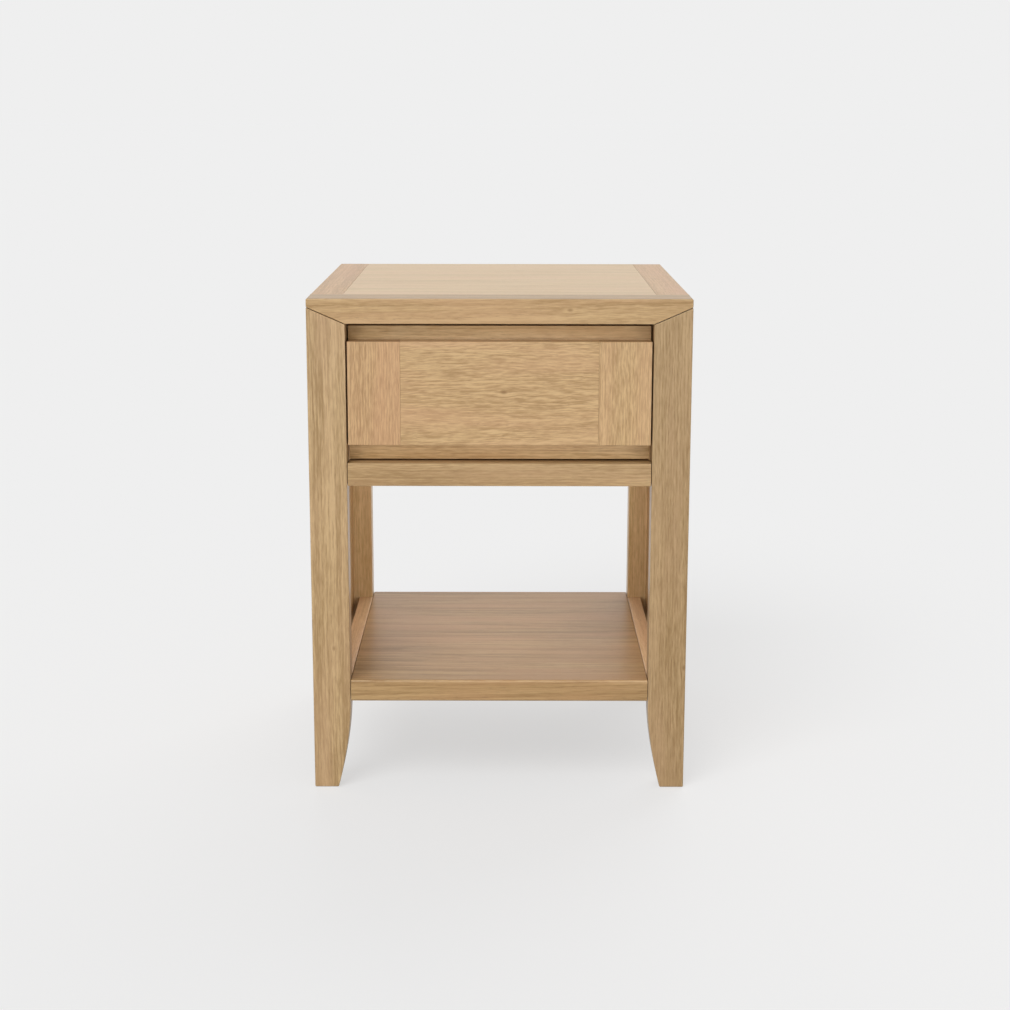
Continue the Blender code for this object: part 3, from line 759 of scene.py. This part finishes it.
shelf = square_board("shelf_board", "shelf_panel", ROUND, CORNER, OUTER, wider=WIDER)
print("shelf:", shelf.name)

# %% [markdown]
# ## The drawer front
# The raised front is three boards: a stile at each end with upright grain and a centre panel between
# them. They stand on a backing board whose bare strips above and below are the finger recesses. One block
# with two cuts in it would have the same outline, but three boards each get their own grain and a hair
# line where they meet.

# %% Raised drawer front
PANEL_EASE = 0.0008
STILE_END_EASE = 0.00048
raised = {
    "panel": square_board("raised_panel", "drawer_front_panel", PANEL_EASE, TIGHT,
                          TIGHT, "drawer", wider=WIDER),
}
for side in SIDES:
    raised[side] = square_board(f"raised_{side}_stile", f"drawer_front_{side}_stile",
                                PANEL_EASE, STILE_END_EASE, TIGHT, "drawer")
print("raised front:", [piece.name for piece in raised.values()])

# %% [markdown]
# ## Boards with joints in them
# The rails with tenons, the drawer sides with grooves and every board with a screw hole keep the packed
# shape, because the joints are the point of it. Cutting them again here could only move them. So a copy
# of that shape is merged into one skin, its flat faces are freed of the lines between triangles, and its
# edges are eased by a hair.

# %% Jointed boards
MERGE = 0.00002
FRAME_EASE = 0.0008
RAIL_EASE = 0.0018
BOX_EASE = 0.0006
JOINT_EASE_STEPS = 2
FLAT_WITHIN = 1.0  # degrees
SHARP_FROM = 35.0  # degrees
FRAME_BOARDS = [
    "drawer_front_rail", "rear_lower_rail", "rear_top_rail", "rear_panel", "dust_panel",
    *[f"{side}_{name}" for side in SIDES
      for name in ("top_cleat", "runner_rail", "shelf_rail", "side_panel")],
]
BOX_BOARDS = ["drawer_left_side", "drawer_right_side", "drawer_back", "drawer_bottom"]


def jointed_board(node, body, ease):
    """A finer copy of a packed board that keeps its joints."""
    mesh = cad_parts[node].data.copy()
    mesh.name = node + "_eased"
    mesh.materials.clear()
    solid = bmesh.new()
    solid.from_mesh(mesh)
    bmesh.ops.remove_doubles(solid, verts=solid.verts, dist=MERGE)
    bmesh.ops.dissolve_limit(solid, angle_limit=math.radians(FLAT_WITHIN), verts=solid.verts,
                             edges=solid.edges)
    solid.to_mesh(mesh)
    solid.free()
    faces_outwards(mesh)
    piece = bpy.data.objects.new(node + "_eased", mesh)
    bpy.context.scene.collection.objects.link(piece)
    soften = piece.modifiers.new("eased_edges", "BEVEL")
    soften.width = ease
    soften.segments = JOINT_EASE_STEPS
    soften.angle_limit = math.radians(SHARP_FROM)
    soften.harden_normals = True
    return stand_for(piece, node, body)


jointed = {}
for node in FRAME_BOARDS:
    ease = RAIL_EASE if node == "drawer_front_rail" else FRAME_EASE
    jointed[node] = jointed_board(node, "carcass", ease)
for node in ["drawer_backing_board", *BOX_BOARDS]:
    jointed[node] = jointed_board(node, "drawer", BOX_EASE)
print("jointed boards:", len(jointed))

# %% [markdown]
# ## Wood on every board
# Each board is given its own cut of the log. Rift-sawn legs show near-straight streaks, so the pith lies
# off one corner; the flat-sawn drawer panel and the shelf show wider figure, so the pith lies under the
# face.

# %% Give the boards their wood
# Each leg: tone, place of the pith, strength of the streaks, painted shade towards the foot, knot.
LEG_LOOKS = {
    ("front", "left"): ("left_leg", (0.2, 0.26, -0.10), 1.3, 1.0, (-0.199, FRONT, 0.177, 0.0022)),
    ("front", "right"): ("right_leg", (0.9, 0.25, 0.30), 0.7, 0.3, (0.2226, FRONT, 0.153, 0.0024)),
    # The rear legs take a tone painted lighter, as painted light in the bay.
    ("rear", "left"): ("rear_leg_painted_light", (1.6, -0.10, -0.12), 1.0, 0.5, None),
    ("rear", "right"): ("rear_leg_painted_light", (2.3, -0.08, 0.31), 1.0, 0.5, None),
}


def finish(piece, material):
    piece.data.materials.clear()
    piece.data.materials.append(material)


finish(lipping, oak("lipping_oak", "lip", "x", (0.1, 0.07, -0.55), lean=(0.6, 0.4),
                    knot=(0.082, FRONT, 0.587, 0.0024)))
finish(centre_panel, oak("centre_panel_oak", "pale", "x", (0.4, 0.05, -0.5), rings=0.2, streaks=1.0,
                         strokes=0.25, wander=0.006))
finish(bands["left"], oak("left_band_oak", "band", "y", (0.2, 0.30, -0.52), rings=0.2, streaks=1.3))
finish(bands["right"], oak("right_band_oak", "band", "y", (0.7, -0.12, -0.48), rings=0.2, streaks=1.3,
                           knot=(0.2007, 0.014, 0.600, 0.0022)))
finish(shelf, oak("shelf_board_oak", "shelf", "x", (0.0, 0.10, -0.05), lean=(0.8, 0.5), rings=0.3,
                  streaks=1.4, strokes=0.4, blush=0.7))
finish(raised["panel"], oak("raised_panel_oak", "panel", "x", (0.3, 0.26, -0.44), lean=(1.0, 1.2),
                            streaks=0.6, strokes=1.2, ripple=0.0011, wander=0.007,
                            knot=(0.005, FRONT, 0.490, 0.0030)))
finish(raised["left"], oak("left_stile_oak", "stile", "z", (0.1, 0.25, 0.05), blush=0.35, strokes=1.2,
                           streaks=0.5, ripple=0.0009))
finish(raised["right"], oak("right_stile_oak", "panel", "z", (0.5, 0.24, -0.25), blush=0.3, strokes=1.2,
                            streaks=0.5, ripple=0.0009))
for key, leg in legs.items():
    tone_name, pith, streaks, foot_shade, knot = LEG_LOOKS[key]
    finish(leg, oak("_".join(key) + "_leg_oak", tone_name, "z", pith, lean=(0.5, 0.3), streaks=streaks,
                    knot=knot, foot_shade=foot_shade))
print("wood on the top, shelf, drawer front and legs")

# %% Give the jointed boards their wood
SEED = 7
rng = np.random.default_rng(SEED)
GRAIN_OF = {"drawer_front_rail": "x", "rear_lower_rail": "x", "rear_top_rail": "x", "rear_panel": "x",
            "dust_panel": "x", "drawer_backing_board": "x", "drawer_back": "x", "drawer_bottom": "x",
            "side_panel": "z"}
# The strip and shelf_rail tones carry painted light for the shaded recesses and the rails under the drawer.
TONE_OF = {"drawer_backing_board": "strip", "drawer_front_rail": "rail", "shelf_rail": "shelf_rail",
           "side_panel": "side"}
BIRCH_LOOK = {"tone_name": "birch", "streaks": 0.6, "strokes": 0.4, "rings": 0.2, "pores": 0.2, "blush": 0.2}
for node, piece in jointed.items():
    shift = rng.uniform(-0.3, 0.3, 3)
    pith = (float(shift[0]), 0.12 + float(shift[1]) * 0.5, -0.3 + float(shift[2]) * 0.3)
    kind = node.removeprefix("left_").removeprefix("right_")
    look = BIRCH_LOOK if node in BOX_BOARDS else {"tone_name": TONE_OF.get(kind, "honey")}
    finish(piece, oak(node + "_wood", grain=GRAIN_OF.get(kind, "y"), pith=pith, **look))
print("wood on the jointed boards:", len(jointed))

# %% [markdown]
# ## The slides
# A slide member is a strip of sheet steel bent to a channel. A block with its inside cut away would have
# sharp corners, but the press leaves a round at each bend. So the section has two arcs with one centre, a
# sheet's thickness apart, and is carried along the slide like a board's.

# %% Slides
SHEET = 0.0012
BEND = 0.0024
BEND_STEPS = 6


def bend(middle, radius, start, end):
    """Points on an arc round middle, from one angle to another in degrees."""
    steps = np.radians(np.linspace(start, end, BEND_STEPS))
    return middle + radius * np.stack([np.cos(steps), np.sin(steps)], 1)


def channel_outline(deep, low, high):
    """A bent strip: out along the lower flange, up the web, back along the upper flange, and inside again."""
    lower, upper = np.array([BEND, low + BEND]), np.array([BEND, high - BEND])
    outside = [[[deep, low]], bend(lower, BEND, -90, -180), bend(upper, BEND, 180, 90), [[deep, high]]]
    small = BEND - SHEET
    inside = [[[deep, high - SHEET]], bend(upper, small, 90, 180), bend(lower, small, 180, 270),
              [[deep, low + SHEET]]]
    return np.concatenate(outside + inside)


def make_slide(side, way, member, body):
    """The flanges of the cabinet and middle members point at the drawer, the drawer member's point back."""
    node = f"{side}_slide_{member}_member"
    low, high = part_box(node)
    outline = channel_outline(high.x - low.x, low.z, high.z)
    web_is_low = (way > 0) == (member == "drawer")
    outline[:, 0] = low.x + outline[:, 0] if web_is_low else high.x - outline[:, 0]
    lips = np.zeros(len(outline))
    lips[[0, 2 * BEND_STEPS + 1, 2 * BEND_STEPS + 2, -1]] = TIGHT
    rim = np.full(len(outline), TIGHT)
    piece = board(f"{side}_slide_{member}_channel", outline, (low.y, high.y), lips, [rim, rim])
    return stand_for(piece, node, body)


slides = []
for side, way in SIDES.items():
    moved_by = {"cabinet": "carcass", "middle": f"{side}_slide_middle", "drawer": "drawer"}
    slides += [make_slide(side, way, member, body) for member, body in moved_by.items()]
print("slide members:", len(slides))

# %% [markdown]
# ## Screws and dowels
# Both are turned parts: every point has a place along the axis and a distance from it, and both may
# change with the turn. A screw's head is a low dome with a cross pressed into it, and its thread is a
# ridge that climbs one pitch in each turn. A dowel is a beech rod with chamfered ends and flutes that let
# the glue out. Cylinders joined end to end would have no cross, thread or flutes, and one grid of rings
# and turns can hold them all.

# %% Turned parts
TURNS = 48
turn = np.linspace(0.0, 2 * np.pi, TURNS, endpoint=False)
whole_turn = np.ones(TURNS)
CREASE_FROM = 38.0  # degrees


def turned(name, start, way, along, radius):
    """A surface of two parameters, the ring and the turn. along and radius, rings by turns, give each point's
    distance from start in the direction way, and from the axis. A point in the middle closes each end."""
    across = np.roll(way, 1)
    ring = np.cos(turn)[:, None] * across + np.sin(turn)[:, None] * np.cross(way, across)
    points = start + along[..., None] * way + radius[..., None] * ring
    index = np.arange(along.size).reshape(along.shape)
    after = np.roll(index, -1, axis=1)
    skin = np.stack([index[:-1], after[:-1], after[1:], index[1:]], axis=-1).reshape(-1, 4)
    middles = np.full(TURNS, index.size)
    fans = np.concatenate([np.stack([after[0], index[0], middles], 1),
                           np.stack([index[-1], after[-1], middles + 1], 1)])
    every = np.concatenate([points.reshape(-1, 3), points[[0, -1]].mean(axis=1)])
    mesh = bpy.data.meshes.new(name)
    mesh.from_pydata(every.tolist(), [], skin.tolist() + fans.tolist())
    faces_outwards(mesh)
    mesh.set_sharp_from_angle(angle=math.radians(CREASE_FROM))
    made = bpy.data.objects.new(name, mesh)
    bpy.context.scene.collection.objects.link(made)
    return made


def axis_of(node):
    """The middle of a round node's wider end, the direction from there to the other end, and the length."""
    corners = np.array([v.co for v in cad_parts[node].data.vertices])
    low, high = corners.min(axis=0), corners.max(axis=0)
    middle = (low + high) / 2
    axis = int(np.argmax(high - low))
    off = corners - middle
    off[:, axis] = 0.0
    wide = np.linalg.norm(off, axis=1)
    wide_end = corners[wide > 0.9 * wide.max(), axis].mean()
    way = np.zeros(3)
    way[axis] = -1.0 if wide_end > middle[axis] else 1.0
    start = middle.copy()
    start[axis] = high[axis] if way[axis] < 0 else low[axis]
    return start, way, float(high[axis] - low[axis])


# %% Screws
HEAD_RADIUS = 0.0040
HEAD_HIGH = 0.0016
SHANK_RADIUS = 0.0020
DOME_RISE = 0.8
DOME_POWER = 2.4
CROSS_HALF = 0.00045
CROSS_REACH = 0.0021
CROSS_DEEP = 0.0011
CROSS_WALL = 0.0002
CROSS_END = 0.0003
PITCH = 0.0014
RINGS_PER_PITCH = 6
ROOT_SHARE = 0.76
POINT_LONG = 0.0030
POINT_BLUNT = 0.04
DOME_RINGS = 16
NEXT_RING = 0.0002


def make_screw(node, body):
    """Rings: out over the dome, down the rim, in under the head, then down the thread to the point. The dome
    falls with a power of the radius. The thread's depth is a triangle wave of the pitches climbed less the
    turn."""
    start, way, length = axis_of(node)
    out = np.linspace(NEXT_RING, HEAD_RADIUS, DOME_RINGS)[:, None] * whole_turn
    beside = np.minimum(np.abs(out * np.cos(turn)), np.abs(out * np.sin(turn)))
    cross = np.clip((CROSS_HALF - beside) / CROSS_WALL, 0, 1) * np.clip((CROSS_REACH - out) / CROSS_END, 0, 1)
    dome = DOME_RISE * HEAD_HIGH * (out / HEAD_RADIUS) ** DOME_POWER + CROSS_DEEP * cross
    under = np.full((2, TURNS), HEAD_HIGH)
    under_radius = np.array([[HEAD_RADIUS], [SHANK_RADIUS]]) * whole_turn
    rings = int((length - HEAD_HIGH) / PITCH * RINGS_PER_PITCH)
    down = np.linspace(HEAD_HIGH + NEXT_RING, length, rings)[:, None] * whole_turn
    ridge = np.abs(2 * ((down / PITCH - turn / (2 * np.pi)) % 1.0) - 1)
    slim = np.clip((length - down) / POINT_LONG, POINT_BLUNT, 1.0)
    thread = SHANK_RADIUS * slim * (ROOT_SHARE + (1 - ROOT_SHARE) * ridge)
    piece = turned(f"{node}_threaded", start, way, np.concatenate([dome, under, down]),
                   np.concatenate([out, under_radius, thread]))
    return stand_for(piece, node, body)


def held_by(node):
    """The drawer's own screws move with it."""
    return "drawer" if "drawer_screw" in node or "front_screw" in node else "carcass"


screws = [make_screw(node, held_by(node)) for node in sorted(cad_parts) if "screw" in node]
print("screws:", len(screws), "pitch", PITCH * 1000, "mm")

# %% Dowels
CHAMFER = 0.0010
CHAMFER_SHARE = 0.8
FLUTES = 12
FLUTE_SHARE = 1 / 15


def make_dowel(node):
    """A rod whose radius dips by the flute's share in each flute, and is smaller at its chamfered ends."""
    start, way, length = axis_of(node)
    low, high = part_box(node)
    along = np.array([0.0, CHAMFER, length - CHAMFER, length])[:, None] * whole_turn
    flute = 1 - FLUTE_SHARE * (1 + np.cos(FLUTES * turn)) / 2
    taper = np.array([CHAMFER_SHARE, 1, 1, CHAMFER_SHARE])[:, None]
    piece = turned(f"{node}_fluted", start, way, along, (high.z - low.z) / 2 * taper * flute)
    return stand_for(piece, node)


dowels = [make_dowel(node) for node in sorted(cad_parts) if "dowel" in node]
for number, dowel in enumerate(dowels):
    finish(dowel, oak(dowel.name + "_beech", "birch", "x", (0.1 * number, 0.05, 0.0), pores=0.1))
print("dowels:", len(dowels))

# %% [markdown]
# ## Zinc-plated steel
# Plated steel is grey with a faint cloud where the plating is thicker, and fine lines from the rolling
# mill. An even grey would look like plastic. The lines run along a slide, and the bends are rubbed
# brighter by the same rule as the worn edges of the wood.

# %% Metal
DULLER = 0.93
LINE_ROUGHNESS = 0.14


def metal(name, colour, bright, roughness, line_stretch):
    made = bpy.data.materials.new(name)
    made.use_nodes = True
    tree = made.node_tree
    shader = tree.nodes["Principled BSDF"]
    shader.inputs["Metallic"].default_value = 1.0
    where = put(tree, "ShaderNodeTexCoord").outputs
    cloud = noise(tree, where["Object"], (90.0, 90.0, 90.0)).outputs["Fac"]
    lines = noise(tree, where["Object"], line_stretch).outputs["Fac"]
    dull = (*[DULLER * value for value in colour[:3]], 1.0)
    clouded = between(tree, ramp_up(tree, cloud, 0.35, 0.75), colour, dull)
    edges = put(tree, "ShaderNodeGroup", node_tree=edge_group)
    fill(tree, edges, {"Place": where["Object"], "Normal": where["Normal"], "Color": clouded,
                       "Wear": 0.6, "Worn Color": bright})
    tree.links.new(edges.outputs["Color"], shader.inputs["Base Color"])
    rough = sums(tree, "MULTIPLY_ADD", lines, LINE_ROUGHNESS, roughness - LINE_ROUGHNESS / 2)
    rough = sums(tree, "MULTIPLY_ADD", edges.outputs["Edge"], -0.06, rough)
    tree.links.new(rough, shader.inputs["Roughness"])
    bump = put(tree, "ShaderNodeBump", {"Height": lines, "Distance": 0.00003, "Strength": 0.35})
    tree.links.new(bump.outputs["Normal"], shader.inputs["Normal"])
    return made


slide_finish = metal("slide_steel_finish", (0.60, 0.61, 0.62, 1.0), (0.74, 0.74, 0.75, 1.0), 0.36,
                     (900.0, 14.0, 900.0))
screw_finish = metal("screw_zinc_finish", (0.70, 0.68, 0.62, 1.0), (0.82, 0.80, 0.75, 1.0), 0.34,
                     (900.0, 900.0, 900.0))
for pieces, material in ((slides, slide_finish), (screws, screw_finish)):
    for piece in pieces:
        finish(piece, material)
print("metal pieces:", len(slides) + len(screws))
